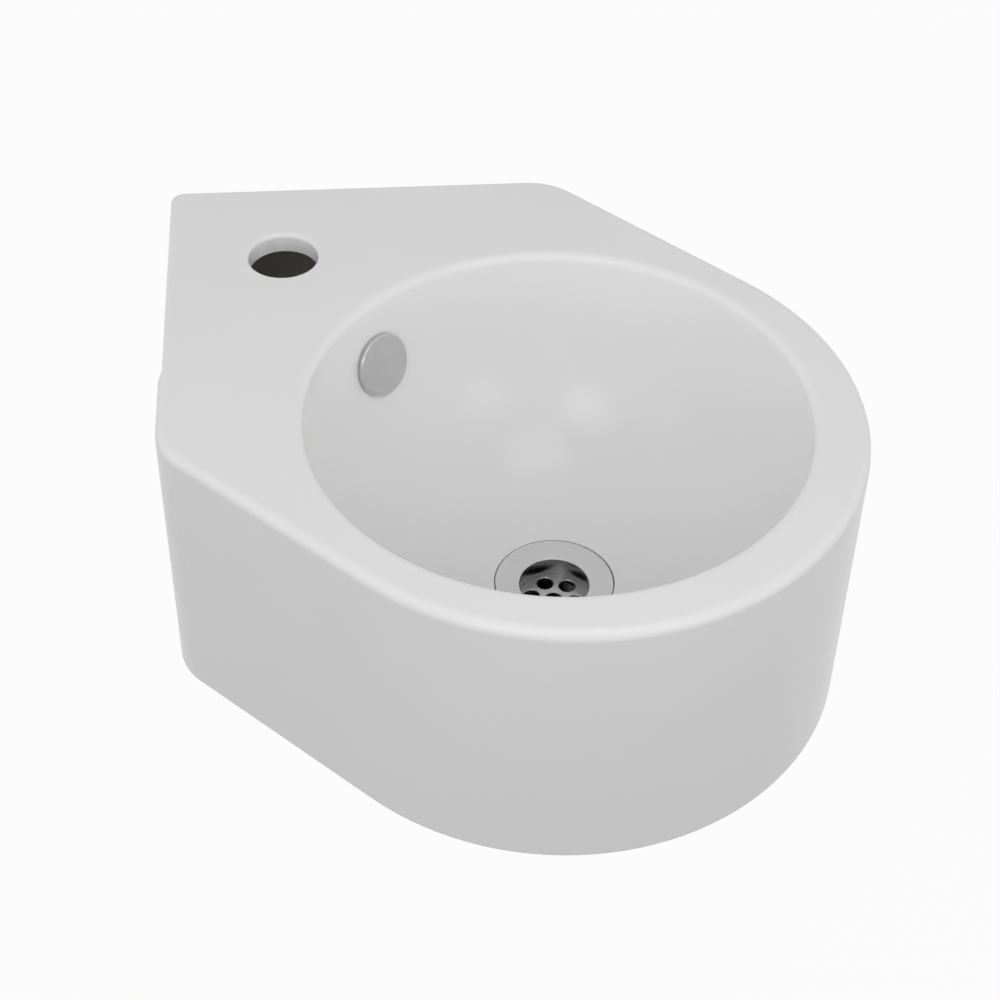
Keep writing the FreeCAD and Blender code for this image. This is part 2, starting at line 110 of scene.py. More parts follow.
class Wiring:
    """Adds nodes to a tree and joins them."""

    def __init__(self, tree: bpy.types.NodeTree) -> None:
        """Keep the tree that the nodes go into."""
        self.tree = tree

    def node(self, kind: str, **settings: object) -> bpy.types.Node:
        """Add a node and set its plain properties.

        Args:
            kind: The node's type name.
            **settings: Properties of the node.

        Returns:
            The new node.
        """
        node = self.tree.nodes.new(kind)
        for key, value in settings.items():
            setattr(node, key, value)
        return node

    def join(self, source: Socket, target: Socket) -> None:
        """Link one socket to another."""
        self.tree.links.new(source, target)

    def math(self, operation: str, *values: Socket | float) -> Socket:
        """Add a Math node.

        Args:
            operation: The node's operation.
            *values: Its inputs, each a number or a socket.

        Returns:
            The result's socket.
        """
        node = self.node("ShaderNodeMath", operation=operation)
        for place, value in enumerate(values):
            if isinstance(value, Socket):
                self.join(value, node.inputs[place])
            else:
                node.inputs[place].default_value = value
        return node.outputs[0]

    def split(self, vector: Socket) -> Sockets:
        """Split a vector.

        Args:
            vector: The vector's socket.

        Returns:
            The sockets X, Y and Z.
        """
        node = self.node("ShaderNodeSeparateXYZ")
        self.join(vector, node.inputs[0])
        return node.outputs

    def places(self) -> Sockets:
        """Add the point's Object coordinates, split in X, Y and Z."""
        return self.split(self.node("ShaderNodeTexCoord").outputs["Object"])

    def facing(self) -> Sockets:
        """Add the surface's outward normal, split in X, Y and Z."""
        return self.split(self.node("ShaderNodeNewGeometry").outputs["Normal"])

    def from_axis(self, place: Sockets, given: Sockets) -> tuple[Socket, Socket]:
        """Add a point's offset from an upright axis.

        Args:
            place: The point's split coordinates.
            given: The group's inputs, which name the axis.

        Returns:
            The offset's sockets along X and along Y.
        """
        across = self.math("SUBTRACT", place["X"], given["Axis X"])
        along = self.math("SUBTRACT", place["Y"], given["Axis Y"])
        return across, along

    def between(self, level: Socket, given: Sockets, fade: Socket) -> Socket:
        """Add a mask of what lies between two levels.

        Args:
            level: The point's level.
            given: The group's inputs, with Low and High.
            fade: The height over which the mask grows from 0 to 1, inside each level.

        Returns:
            The mask's socket.
        """
        below = self.math("DIVIDE", self.math("SUBTRACT", given["High"], level), fade)
        above = self.math("DIVIDE", self.math("SUBTRACT", level, given["Low"]), fade)
        clamp = self.node("ShaderNodeClamp")
        self.join(self.math("MINIMUM", below, above), clamp.inputs["Value"])
        return clamp.outputs[0]

    def length(self, across: Socket, along: Socket) -> Socket:
        """Add the length of a plane vector, from its two components."""
        squares = [self.math("MULTIPLY", side, side) for side in (across, along)]
        return self.math("SQRT", self.math("ADD", *squares))

    def rise(self, value: Socket, start: float, end: float) -> Socket:
        """Add a smooth step from 0 to 1.

        Args:
            value: What the step depends on.
            start: The value where the step is still 0.
            end: The value where the step is 1, which may be less than start.

        Returns:
            The step's socket.
        """
        step = self.node("ShaderNodeMapRange", interpolation_type="SMOOTHSTEP")
        self.join(value, step.inputs["Value"])
        step.inputs["From Min"].default_value = min(start, end)
        step.inputs["From Max"].default_value = max(start, end)
        step.inputs["To Min"].default_value = float(start > end)
        step.inputs["To Max"].default_value = float(start < end)
        return step.outputs["Result"]

    def both(self, *masks: Socket) -> Socket:
        """Add the product of two or more masks.

        Args:
            *masks: Their sockets.

        Returns:
            The product's socket.
        """
        total = masks[0]
        for mask in masks[1:]:
            total = self.math("MULTIPLY", total, mask)
        return total


def cloud_group() -> bpy.types.NodeTree:
    """Make soft noise between two levels, for tone and roughness that vary over a surface.

    Returns:
        The group, whose inputs are the noise's scale, detail and levels.
    """
    tree = group_with("surface_cloud", {"Scale": 20.0, "Detail": 2.0, "Low": 0.0, "High": 1.0}, Output.VALUE)
    usual_low, usual_high = 0.3, 0.7
    wire = Wiring(tree)
    given = tree.nodes["in"].outputs
    noise = wire.node("ShaderNodeTexNoise")
    wire.join(wire.node("ShaderNodeTexCoord").outputs["Object"], noise.inputs["Vector"])
    wire.join(given["Scale"], noise.inputs["Scale"])
    wire.join(given["Detail"], noise.inputs["Detail"])
    spread = wire.node("ShaderNodeMapRange")
    spread.inputs["From Min"].default_value = usual_low
    spread.inputs["From Max"].default_value = usual_high
    wire.join(noise.outputs["Fac"], spread.inputs["Value"])
    wire.join(given["Low"], spread.inputs["To Min"])
    wire.join(given["High"], spread.inputs["To Max"])
    wire.join(spread.outputs["Result"], tree.nodes["out"].inputs[0])
    return tree


def turning_group() -> bpy.types.NodeTree:
    """Make fine rings about an upright axis, as a lathe leaves them.

    Returns:
        The group, whose inputs are the axis, the rings' width and how much they waver.
    """
    inputs = {"Axis X": 0.0, "Axis Y": 0.0, "Ring Width": 0.3 * MM, "Waver": 0.2}
    tree = group_with("turning_marks", inputs, Output.HEIGHT)
    ring_detail = 2.0
    drift_scale = 300.0
    wire = Wiring(tree)
    given = tree.nodes["in"].outputs
    place = wire.places()
    path = wire.math("ADD", wire.length(*wire.from_axis(place, given)), place["Z"])
    noise = wire.node("ShaderNodeTexNoise", noise_dimensions="1D")
    noise.inputs["Scale"].default_value = 1.0
    noise.inputs["Detail"].default_value = ring_detail
    wire.join(wire.math("DIVIDE", path, given["Ring Width"]), noise.inputs["W"])
    drift = wire.node("ShaderNodeTexNoise")
    drift.inputs["Scale"].default_value = drift_scale
    wire.join(wire.node("ShaderNodeTexCoord").outputs["Object"], drift.inputs["Vector"])
    waver = wire.math("MULTIPLY", drift.outputs["Fac"], given["Waver"])
    wire.join(wire.math("ADD", noise.outputs["Fac"], waver), tree.nodes["out"].inputs[0])
    return tree


def bore_group() -> bpy.types.NodeTree:
    """Mask what lies within a radius of an upright axis and between two levels.

    Returns:
        The group, whose inputs are the axis, the radius, the levels and the fade inside them.
    """
    inputs = {"Axis X": 0.0, "Axis Y": 0.0, "Radius": 20.0 * MM, "Low": -1.0, "High": 0.0, "Fade": 1.0 * MM}
    tree = group_with("within_bore", inputs, Output.MASK)
    wire = Wiring(tree)
    given = tree.nodes["in"].outputs
    place = wire.places()
    inside = wire.math("LESS_THAN", wire.length(*wire.from_axis(place, given)), given["Radius"])
    mask = wire.both(inside, wire.between(place["Z"], given, given["Fade"]))
    wire.join(mask, tree.nodes["out"].inputs[0])
    return tree


class SharedGroups:
    """The node groups that several finishes use, each built once."""

    def __init__(self) -> None:
        """Build the groups."""
        self.cloud = cloud_group()
        self.turning = turning_group()
        self.bore = bore_group()


# -------------------------------------------------------------------
# Finishes
# -------------------------------------------------------------------


def grey(tone: float) -> Colour:
    """Neutral colour of one tone."""
    return (tone, tone, tone)


class Surface(Wiring):
    """A material with its Principled shader at hand."""

    # Places of the Mix node's two colours among its inputs, and of the mixed one among its outputs.
    mix_under = 6
    mix_above = 7
    mix_result = 2

    def __init__(self, name: str, groups: SharedGroups) -> None:
        """Start an empty material.

        Args:
            name: The material's name.
            groups: The shared node groups.
        """
        self.material = bpy.data.materials.new(name)
        self.material.use_nodes = True
        super().__init__(self.material.node_tree)
        self.groups = groups
        self.shader = self.tree.nodes["Principled BSDF"]

    def set(self, **values: float) -> None:
        """Set sockets of the shader that are the same all over the surface."""
        for key, value in values.items():
            self.shader.inputs[key.replace("_", " ")].default_value = value

    def drive(self, **sources: Socket) -> None:
        """Join sockets of the shader to what changes over the surface."""
        for key, source in sources.items():
            self.join(source, self.shader.inputs[key.replace("_", " ")])

    def shared(self, tree: bpy.types.NodeTree, **values: float) -> Socket:
        """Place a shared group with this material's own values.

        Args:
            tree: The group.
            **values: Its inputs, by name with underscores for spaces.

        Returns:
            The group's output socket.
        """
        node = self.node("ShaderNodeGroup", node_tree=tree)
        for key, value in values.items():
            node.inputs[key.replace("_", " ")].default_value = value
        return node.outputs[0]

    def cloud(self, scale: float, detail: float = 2.0, span: Span = (0.0, 1.0)) -> Socket:
        """Place the shared noise.

        Args:
            scale: How fine the noise is.
            detail: How many finer layers lie on it.
            span: The two levels that it varies between.

        Returns:
            The noise's socket.
        """
        low, high = span
        return self.shared(self.groups.cloud, Scale=scale, Detail=detail, Low=low, High=high)

    def over(self, factor: Socket, under: Socket | Colour, above: Socket | Colour) -> Socket:
        """Lay one colour over another by a mask.

        Args:
            factor: The mask.
            under: The colour where the mask is 0, or its socket.
            above: The colour where the mask is 1, or its socket.

        Returns:
            The colour's socket.
        """
        mix = self.node("ShaderNodeMix", data_type="RGBA")
        self.join(factor, mix.inputs["Factor"])
        for place, colour in ((self.mix_under, under), (self.mix_above, above)):
            if isinstance(colour, Socket):
                self.join(colour, mix.inputs[place])
            else:
                mix.inputs[place].default_value = (*colour, 1.0)
        return mix.outputs[self.mix_result]

    def relief(self, height: Socket, depth: float) -> None:
        """Let a height drive the shader's normal.

        Args:
            height: The height's socket, about 0 to 1.
            depth: The height in metres that 1 stands for.
        """
        bump = self.node("ShaderNodeBump")
        bump.inputs["Strength"].default_value = 1.0
        bump.inputs["Distance"].default_value = depth
        self.join(height, bump.inputs["Height"])
        self.drive(Normal=bump.outputs["Normal"])


@dataclass(frozen=True)
class GlazedCeramic:
    """White glaze over fired clay, which is bare in the hollow, on the foot and on the wall pads. The bare
    clay in the hollow is painted darker than the clay's own tone, as painted shade.
    """

    foot_level: float
    reach: float
    front_radius: float = 148.6 * MM
    bowl_centre: float = 197.4 * MM
    bowl_radius: float = 126.1 * MM
    deck_thickness: float = 11.0 * MM
    deck_margin: float = 0.1 * MM
    deck_fade: float = 0.3 * MM
    glaze_inset: float = 4.5 * MM
    glaze_edge: float = 1.0 * MM
    outward_weight: float = 0.3
    underside_facing: Span = (0.2, 0.1)
    ground_from: float = 0.7 * MM
    ground_whole: float = 0.3 * MM
    ground_waver: float = 0.25 * MM
    waver_scale: float = 60.0
    pad_glaze_drop: float = 12.0 * MM
    pad_glaze_fade: float = 2.0 * MM
    light: Colour = (0.845, 0.845, 0.843)
    dark: Colour = (0.832, 0.832, 0.830)
    tone_scale: float = 11.0
    # Bare clay in the hollow: the clay's own tone darkened as painted shade, well below ground_clay on the
    # foot and pads.
    shaded_clay_light: Colour = (0.42, 0.40, 0.36)
    shaded_clay_dark: Colour = (0.34, 0.32, 0.29)
    clay_scale: float = 45.0
    clay_detail: float = 5.0
    ground_clay: Colour = (0.66, 0.64, 0.60)
    roughness: Span = (0.17, 0.21)
    roughness_scale: float = 35.0
    clay_roughness: float = 0.55
    refraction: float = 1.5
    wave_scale: float = 26.0
    wave_detail: float = 1.0
    grain_scale: float = 1400.0
    grain_detail: float = 3.0
    grain_height: float = 1.2
    relief_unit: float = 0.04 * MM

    def depth_in_plan(self, skin: Surface, place: Sockets) -> Socket:
        """How far a point lies inside the casting's outline, seen from above.

        Args:
            skin: The material.
            place: The point's split coordinates.

        Returns:
            The distance's socket, in metres.
        """
        centre = self.reach - self.front_radius
        right = skin.math("SUBTRACT", place["X"], centre)
        back = skin.math("ADD", place["Y"], centre)
        across = skin.math("DIVIDE", skin.math("ADD", right, back), math.sqrt(2))
        forward = skin.math("DIVIDE", skin.math("SUBTRACT", right, back), math.sqrt(2))
        around = skin.length(across, skin.math("MAXIMUM", forward, 0.0))
        from_front = skin.math("SUBTRACT", self.front_radius, around)
        return skin.math("MINIMUM", from_front, self.wall_distance(skin, place))

    def wall_distance(self, skin: Surface, place: Sockets) -> Socket:
        """How far a point lies from the nearer room wall."""
        from_back = skin.math("MULTIPLY", place["Y"], -1.0)
        return skin.math("MINIMUM", place["X"], from_back)

    def outside_bowl(self, skin: Surface, place: Sockets) -> Socket:
        """Mask of what lies beside the bowl or faces away from its inside.

        Args:
            skin: The material.
            place: The point's split coordinates.

        Returns:
            The mask's socket.
        """
        facing = skin.facing()
        right = skin.math("SUBTRACT", place["X"], self.bowl_centre)
        back = skin.math("ADD", place["Y"], self.bowl_centre)
        around = skin.length(right, back)
        radius = self.bowl_radius + self.glaze_edge
        beside = skin.rise(around, radius, radius + self.glaze_edge)
        along_x = skin.math("MULTIPLY", facing["X"], right)
        outward = skin.math("MULTIPLY_ADD", facing["Y"], back, along_x)
        tilt = skin.math("MULTIPLY", skin.math("DIVIDE", outward, around), self.outward_weight)
        into_bowl = skin.math("SUBTRACT", facing["Z"], tilt)
        under = skin.rise(into_bowl, *self.underside_facing)
        return skin.math("MAXIMUM", beside, under)

    def hollow_bare_and_shade_mask(self, skin: Surface, place: Sockets) -> Socket:
        """Mask of the unglazed hollow behind the skirt and below the bowl, whose bare clay also carries
        painted shade.

        Args:
            skin: The material.
            place: The point's split coordinates.

        Returns:
            The mask's socket.
        """
        inset = self.glaze_inset
        enclosed = skin.rise(self.depth_in_plan(skin, place), inset, inset + self.glaze_edge)
        level = -self.deck_thickness + self.deck_margin
        below = skin.rise(place["Z"], level, level - self.deck_fade)
        return skin.both(enclosed, below, self.outside_bowl(skin, place))

    def ground_mask(self, skin: Surface, place: Sockets) -> Socket:
        """Mask of the foot and of the wall pads, where the glaze is ground off.

        Args:
            skin: The material.
            place: The point's split coordinates.

        Returns:
            The mask's socket.
        """
        foot = skin.rise(place["Z"], self.foot_level + self.ground_from, self.foot_level + self.ground_whole)
        waver = skin.cloud(self.waver_scale, span=(-self.ground_waver, self.ground_waver))
        gap = skin.math("ADD", self.wall_distance(skin, place), waver)
        pad = skin.rise(gap, self.ground_from, self.ground_whole)
        low = skin.rise(place["Z"], -self.pad_glaze_drop, -self.pad_glaze_drop - self.pad_glaze_fade)
        return skin.math("MAXIMUM", foot, skin.both(pad, low))

    def build(self, groups: SharedGroups) -> bpy.types.Material:
        """Make the material.

        Args:
            groups: The shared node groups.

        Returns:
            The material.
        """
        skin = Surface("white_glaze", groups)
        skin.set(IOR=self.refraction)
        place = skin.places()
        hollow = self.hollow_bare_and_shade_mask(skin, place)
        ground = self.ground_mask(skin, place)
        bare = skin.math("MAXIMUM", hollow, ground)
        glaze = skin.over(skin.cloud(self.tone_scale), self.dark, self.light)
        # Painted shade: the hollow's bare clay is darker than the ground clay of the foot and pads.
        clay = skin.over(skin.cloud(self.clay_scale, self.clay_detail), self.shaded_clay_dark, self.shaded_clay_light)
        colour = skin.over(ground, skin.over(hollow, glaze, clay), self.ground_clay)
        glaze_roughness = skin.cloud(self.roughness_scale, span=self.roughness)
        roughness = skin.math("MULTIPLY_ADD", bare, self.clay_roughness, glaze_roughness)
        skin.drive(Base_Color=colour, Roughness=roughness)
        wave = skin.cloud(self.wave_scale, self.wave_detail)
        grain = skin.cloud(self.grain_scale, self.grain_detail, span=(0.0, self.grain_height))
        glazed = skin.math("MULTIPLY", wave, skin.math("SUBTRACT", 1.0, bare))
        skin.relief(skin.math("MULTIPLY_ADD", grain, bare, glazed), self.relief_unit)
        return skin.material


@dataclass(frozen=True)
class PaintedShadeBore:
    """Inside of a turned piece, with a darker tone that is painted shade and a change of roughness."""

    radius: float
    low: float
    high: float
    tone: float
    roughness_change: float
    fade: float = 0.6 * MM


@dataclass(frozen=True)
class TurnedMetal:
    """Metal turned on a lathe about an upright axis, then plated or left bare."""

    name: str
    dark: Colour
    light: Colour
    roughness: Span
    axis: tuple[float, float]
    bores: tuple[PaintedShadeBore, ...] = ()
    ring_width: float = 0.45 * MM
    ring_depth: float = 0.0015 * MM
    ring_waver: float = 0.2
    ring_share: float = 0.5
    cloud_share: float = 0.4
    tone_scale: float = 30.0
    roughness_scale: float = 60.0

    def within(self, skin: Surface, bore: PaintedShadeBore) -> Socket:
        """Mask of a bore's inside."""
        values = {"Radius": bore.radius, "Low": bore.low, "High": bore.high, "Fade": bore.fade}
        return skin.shared(skin.groups.bore, Axis_X=self.axis[0], Axis_Y=self.axis[1], **values)

    def rings(self, skin: Surface) -> Socket:
        """Height of the rings that the lathe left."""
        values = {"Ring_Width": self.ring_width, "Waver": self.ring_waver}
        return skin.shared(skin.groups.turning, Axis_X=self.axis[0], Axis_Y=self.axis[1], **values)

    def build(self, groups: SharedGroups) -> bpy.types.Material:
        """Make the material.

        Args:
            groups: The shared node groups.

        Returns:
            The material.
        """
        skin = Surface(self.name, groups)
        skin.set(Metallic=1.0)
        rings = self.rings(skin)
        ring_tone = skin.math("MULTIPLY", rings, self.ring_share)
        blend = skin.math("MULTIPLY_ADD", skin.cloud(self.tone_scale), self.cloud_share, ring_tone)
        colour = skin.over(blend, self.dark, self.light)
        roughness = skin.cloud(self.roughness_scale, span=self.roughness)
        # Painted shade: each bore's inside is laid over with its darker tone.
        for bore in self.bores:
            mask = self.within(skin, bore)
            colour = skin.over(mask, colour, grey(bore.tone))
            roughness = skin.math("MULTIPLY_ADD", mask, bore.roughness_change, roughness)
        skin.drive(Base_Color=colour, Roughness=roughness)
        skin.relief(rings, self.ring_depth)
        return skin.material


@dataclass(frozen=True)
class GrainedFinish:
    """Finish with a fine grain, whose tone and roughness drift over the surface."""

    name: str
    dark: Colour
    light: Colour
    roughness: Span
    metallic: float
    tone_scale: float
    tone_detail: float
    roughness_scale: float
    roughness_detail: float
    grain_scale: float
    grain_depth: float

    def build(self, groups: SharedGroups) -> bpy.types.Material:
        """Make the material.

        Args:
            groups: The shared node groups.

        Returns:
            The material.
        """
        skin = Surface(self.name, groups)
        skin.set(Metallic=self.metallic)
        colour = skin.over(skin.cloud(self.tone_scale, self.tone_detail), self.dark, self.light)
        roughness = skin.cloud(self.roughness_scale, self.roughness_detail, span=self.roughness)
        skin.drive(Base_Color=colour, Roughness=roughness)
        skin.relief(skin.cloud(self.grain_scale), self.grain_depth)
        return skin.material


@dataclass(frozen=True)
class SatinMetal(GrainedFinish):
    """Metal with a fine grain and no direction."""

    metallic: float = 1.0
    tone_scale: float = 120.0
    tone_detail: float = 4.0
    roughness_scale: float = 220.0
    roughness_detail: float = 3.0
    grain_scale: float = 1800.0
    grain_depth: float = 0.003 * MM


@dataclass(frozen=True)
class MouldedPolymer(GrainedFinish):
    """Rubber or plastic with the faint grain of its mould."""

    metallic: float = 0.0
    tone_scale: float = 70.0
    tone_detail: float = 3.0
    roughness_scale: float = 130.0
    roughness_detail: float = 2.0
    grain_scale: float = 900.0
    grain_depth: float = 0.01 * MM


Finish = GlazedCeramic | TurnedMetal | GrainedFinish


# -------------------------------------------------------------------
# Shape helpers
# -------------------------------------------------------------------


def half_width(node: str) -> float:
    """Radius of a round upright piece, from the box of its node."""
    low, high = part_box(node)
    return (high.x - low.x) / 2


def quarter(centre: tuple[float, float], radius: float, start: float, steps: int = 5) -> Outline:
    """Points of a quarter round in a turned section.

    Args:
        centre: Its centre, as radius and level.
        radius: Its radius.
        start: The angle of its first point, in degrees from the outward direction.
        steps: How many stretches it has.

    Returns:
        The points, both ends included.
    """
    middle, level = centre
    angles = [math.radians(start + QUARTER_TURN * step / steps) for step in range(steps + 1)]
    return [(middle + radius * math.cos(angle), level + radius * math.sin(angle)) for angle in angles]


def upright(radius: float, start: float, end: float, step: float) -> Outline:
    """Evenly spaced points of a cylinder's section, both ends included."""
    count = max(1, round(abs(end - start) / step))
    return [(radius, start + (end - start) * place / count) for place in range(count + 1)]


def turned_mesh(name: str, outline: Outline, axis: tuple[float, float], sides: int) -> bpy.types.Mesh:
    """Turn a closed section about an upright axis.

    Args:
        name: The mesh's name.
        outline: The section, as radius and level.
        axis: Where the axis stands.
        sides: How many faces go round.

    Returns:
        The closed mesh, with its faces outwards.
    """
    points = []
    for side in range(sides):
        angle = math.tau * side / sides
        for radius, level in outline:
            points.append((axis[0] + radius * math.cos(angle), axis[1] + radius * math.sin(angle), level))
    rows = len(outline)
    faces = []
    for side in range(sides):
        here, there = side * rows, (side + 1) % sides * rows
        for row in range(rows):
            after = (row + 1) % rows
            faces.append((here + row, here + after, there + after, there + row))
    mesh = bpy.data.meshes.new(name)
    mesh.from_pydata(points, [], faces)
    shape = bmesh.new()
    shape.from_mesh(mesh)
    bmesh.ops.recalc_face_normals(shape, faces=shape.faces)
    shape.to_mesh(mesh)
    shape.free()
    return mesh


def placed(name: str, data: bpy.types.ID) -> bpy.types.Object:
    """Put an object with this data into the scene.

    Args:
        name: The object's name.
        data: Its mesh, lamp or camera.

    Returns:
        The object.
    """
    piece = bpy.data.objects.new(name, data)
    bpy.context.scene.collection.objects.link(piece)
    return piece


class Field(Wiring):
    """A Geometry Nodes tree that moves points."""

    def __init__(self, name: str, inputs: dict[str, float]) -> None:
        """Start the tree.

        Args:
            name: The tree's name.
            inputs: Its float inputs with their default values.
        """
        super().__init__(bpy.data.node_groups.new(name, "GeometryNodeTree"))
        face = self.tree.interface
        face.new_socket(name="Geometry", in_out="INPUT", socket_type="NodeSocketGeometry")
        face.new_socket(name="Geometry", in_out="OUTPUT", socket_type="NodeSocketGeometry")
        for socket, default in inputs.items():
            item = face.new_socket(name=socket, in_out="INPUT", socket_type="NodeSocketFloat")
            item.default_value = default
        face.new_socket(name="Material", in_out="INPUT", socket_type="NodeSocketMaterial")
        self.given = self.node("NodeGroupInput").outputs
        self.out = self.node("NodeGroupOutput").inputs

    def end_with(self, offset: Socket) -> None:
        """Move the points, realize the result and give it the tree's material.

        Args:
            offset: How far each point moves.
        """
        move = self.node("GeometryNodeSetPosition")
        self.join(self.given["Geometry"], move.inputs["Geometry"])
        self.join(offset, move.inputs["Offset"])
        whole = self.node("GeometryNodeRealizeInstances")
        self.join(move.outputs[0], whole.inputs[0])
        paint = self.node("GeometryNodeSetMaterial")
        self.join(whole.outputs[0], paint.inputs["Geometry"])
        self.join(self.given["Material"], paint.inputs["Material"])
        self.join(paint.outputs[0], self.out["Geometry"])


def thread_tree() -> bpy.types.NodeTree:
    """Cut a right-hand thread into the outside of a turned piece.

    Returns:
        The tree, whose inputs are the thread's axis, radius, pitch, depth and levels.
    """
    inputs = {"Axis X": 0.0, "Axis Y": 0.0, "Radius": 21.0 * MM, "Pitch": 2.3 * MM, "Depth": 1.5 * MM}
    inputs |= {"Low": -200.0 * MM, "High": -150.0 * MM, "Run-out": 1.0 * MM}
    field = Field("right_hand_thread", inputs)
    given = field.given
    place = field.split(field.node("GeometryNodeInputPosition").outputs[0])
    across, along = field.from_axis(place, given)
    radius = field.length(across, along)
    turn = field.math("DIVIDE", field.math("ARCTAN2", along, across), math.tau)
    climb = field.math("DIVIDE", place["Z"], given["Pitch"])
    phase = field.math("MULTIPLY", field.math("SUBTRACT", climb, turn), math.tau)
    groove = field.math("MULTIPLY_ADD", field.math("COSINE", phase), -0.5, 0.5)
    depth = field.both(given["Depth"], groove, field.between(place["Z"], given, given["Run-out"]))
    target = field.math("MINIMUM", radius, field.math("SUBTRACT", given["Radius"], depth))
    root = field.math("SUBTRACT", given["Radius"], given["Depth"])
    beyond_crest = field.math("ADD", given["Radius"], given["Depth"])
    outside_root = field.math("GREATER_THAN", radius, root)
    inside_crest = field.math("LESS_THAN", radius, beyond_crest)
    threaded = field.both(outside_root, inside_crest)
    share = field.math("DIVIDE", field.math("SUBTRACT", target, radius), radius)
    offset = field.node("ShaderNodeCombineXYZ")
    field.join(field.both(across, share, threaded), offset.inputs["X"])
    field.join(field.both(along, share, threaded), offset.inputs["Y"])
    field.end_with(offset.outputs[0])
    return field.tree


def settle(piece: bpy.types.Object) -> None:
    """Replace a piece's mesh by what its modifiers make of it, and remove them.

    Args:
        piece: The piece.
    """
    bpy.context.view_layer.update()
    depsgraph = bpy.context.evaluated_depsgraph_get()
    mesh = bpy.data.meshes.new_from_object(piece.evaluated_get(depsgraph), depsgraph=depsgraph)
    piece.modifiers.clear()
    piece.data = mesh


def grown(piece: bpy.types.Object, tree: bpy.types.NodeTree, values: dict[str, object]) -> None:
    """Run a Geometry Nodes tree on a piece and keep the result as its plain mesh.

    Args:
        piece: The piece.
        tree: The tree.
        values: The tree's inputs by name.
    """
    modifier = piece.modifiers.new(tree.name, "NODES")
    modifier.node_group = tree
    for item in tree.interface.items_tree:
        if item.in_out == "INPUT" and item.name in values:
            modifier[item.identifier] = values[item.name]
    settle(piece)


# -------------------------------------------------------------------
# The object's sub-assemblies
# -------------------------------------------------------------------


@dataclass
class SubAssembly:
    """Pieces of the basin that belong together."""

    nodes: dict[str, bpy.types.Object]
    groups: SharedGroups

    def dress(self, finishes: dict[str, Finish]) -> None:
        """Give carried-over nodes one finish each.

        Args:
            finishes: The finishes by the names of their nodes.
        """
        for name, finish in finishes.items():
            node = self.nodes[name]
            material = finish.build(self.groups)
            node.data.materials.clear()
            node.data.materials.append(material)
            LOG.info("dressed %s in %s", node.name, material.name)


@dataclass
class Casting(SubAssembly):
    """The ceramic basin itself."""

    def make(self) -> None:
        """Dress the casting."""
        low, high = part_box("basin_body")
        self.dress({"basin_body": GlazedCeramic(foot_level=low.z, reach=high.x)})


